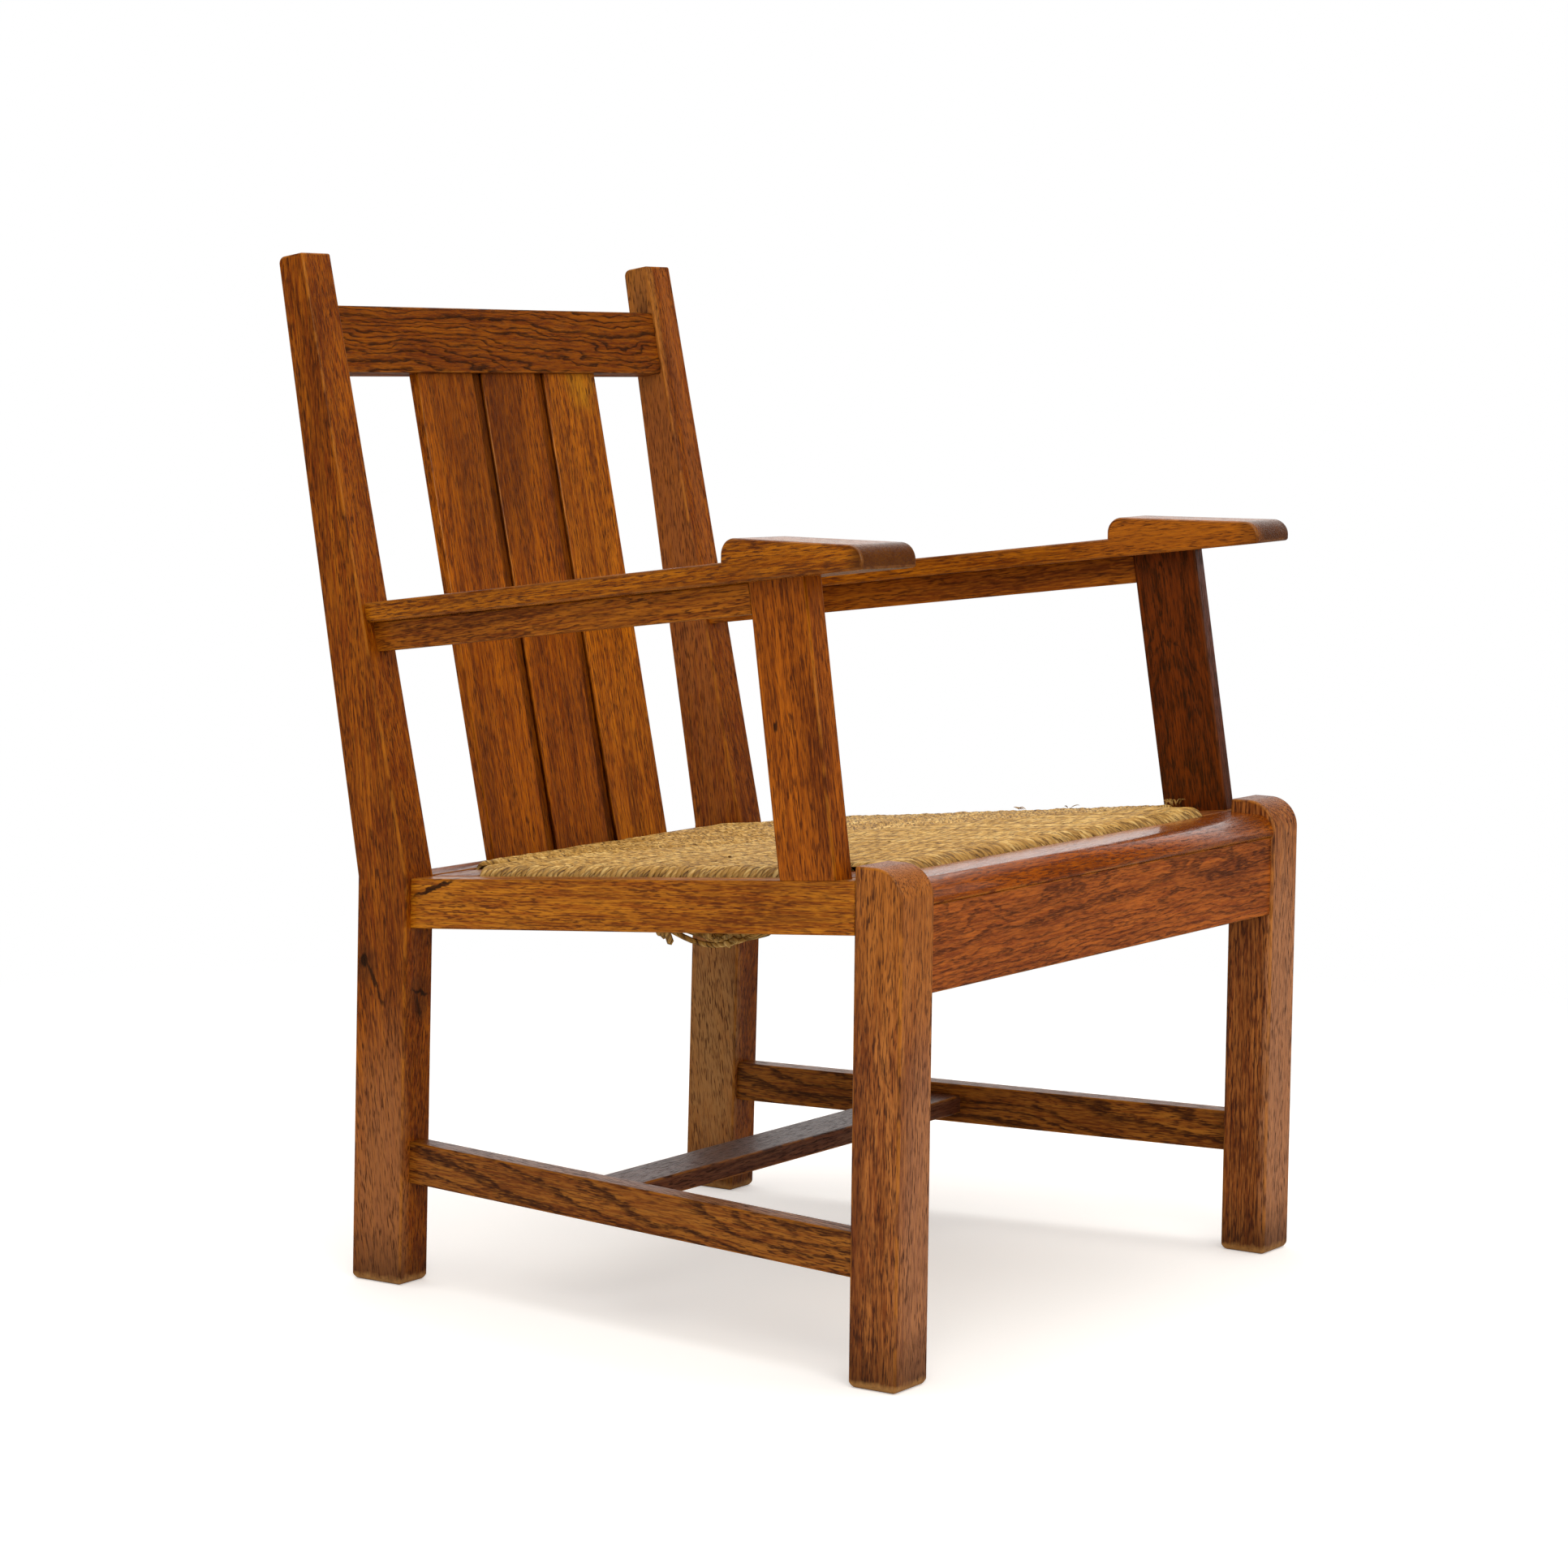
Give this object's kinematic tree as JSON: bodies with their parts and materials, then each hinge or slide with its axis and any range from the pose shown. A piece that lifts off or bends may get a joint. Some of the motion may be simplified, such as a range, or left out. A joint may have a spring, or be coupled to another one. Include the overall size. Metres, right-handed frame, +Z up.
{
  "type": "open armchair with rush seat",
  "caption": "Open oak armchair with a raked slatted back, splayed sides, sloping arms with raised tips, H-stretcher and a lift-out woven rush seat",
  "frame": {"origin": "on the floor, under the middle of the overall width and depth", "axes": "+Z up, +Y towards the back, the chair faces -Y, +X towards the chair's right seen from the front"},
  "size_m": [0.682, 0.6504, 0.846],
  "materials": {
    "oak": "red-brown stained oak under glossy, slightly worn varnish",
    "slat_oak": "lighter orange-brown oak under glossy varnish",
    "rush": "golden straw-coloured twisted rush with darker strands"
  },
  "bodies": {
    "frame": {"front_leg_left": "oak", "front_leg_right": "oak", "rear_post_left": "oak", "rear_post_right": "oak", "side_seat_rail_left": "oak", "side_seat_rail_right": "oak", "rear_seat_rail": "oak", "front_apron": "oak", "nose_bar": "oak", "crest_rail": "oak", "back_slat_left": "slat_oak", "back_slat_centre": "slat_oak", "back_slat_right": "slat_oak", "arm_left": "oak", "arm_right": "oak", "arm_rail_left": "oak", "arm_rail_right": "oak", "arm_support_left": "oak", "arm_support_right": "oak", "side_stretcher_left": "oak", "side_stretcher_right": "oak", "cross_stretcher": "oak", "glue_block_front_left": "oak", "glue_block_front_right": "oak", "glue_block_rear_left": "oak", "glue_block_rear_right": "oak"},
    "seat": {"seat_block_front_left": "oak", "seat_block_front_right": "oak", "seat_block_rear_left": "oak", "seat_block_rear_right": "oak", "seat_frame_front": "oak", "seat_frame_rear": "oak", "seat_frame_left": "oak", "seat_frame_right": "oak", "rush_seat": "rush", "rush_tail": "rush"}
  },
  "joints": [
    {"name": "seat_lift", "type": "slide", "parent": "frame", "child": "seat", "axis": [0, 0, 1], "range_m": [0, 0.12]}
  ]
}
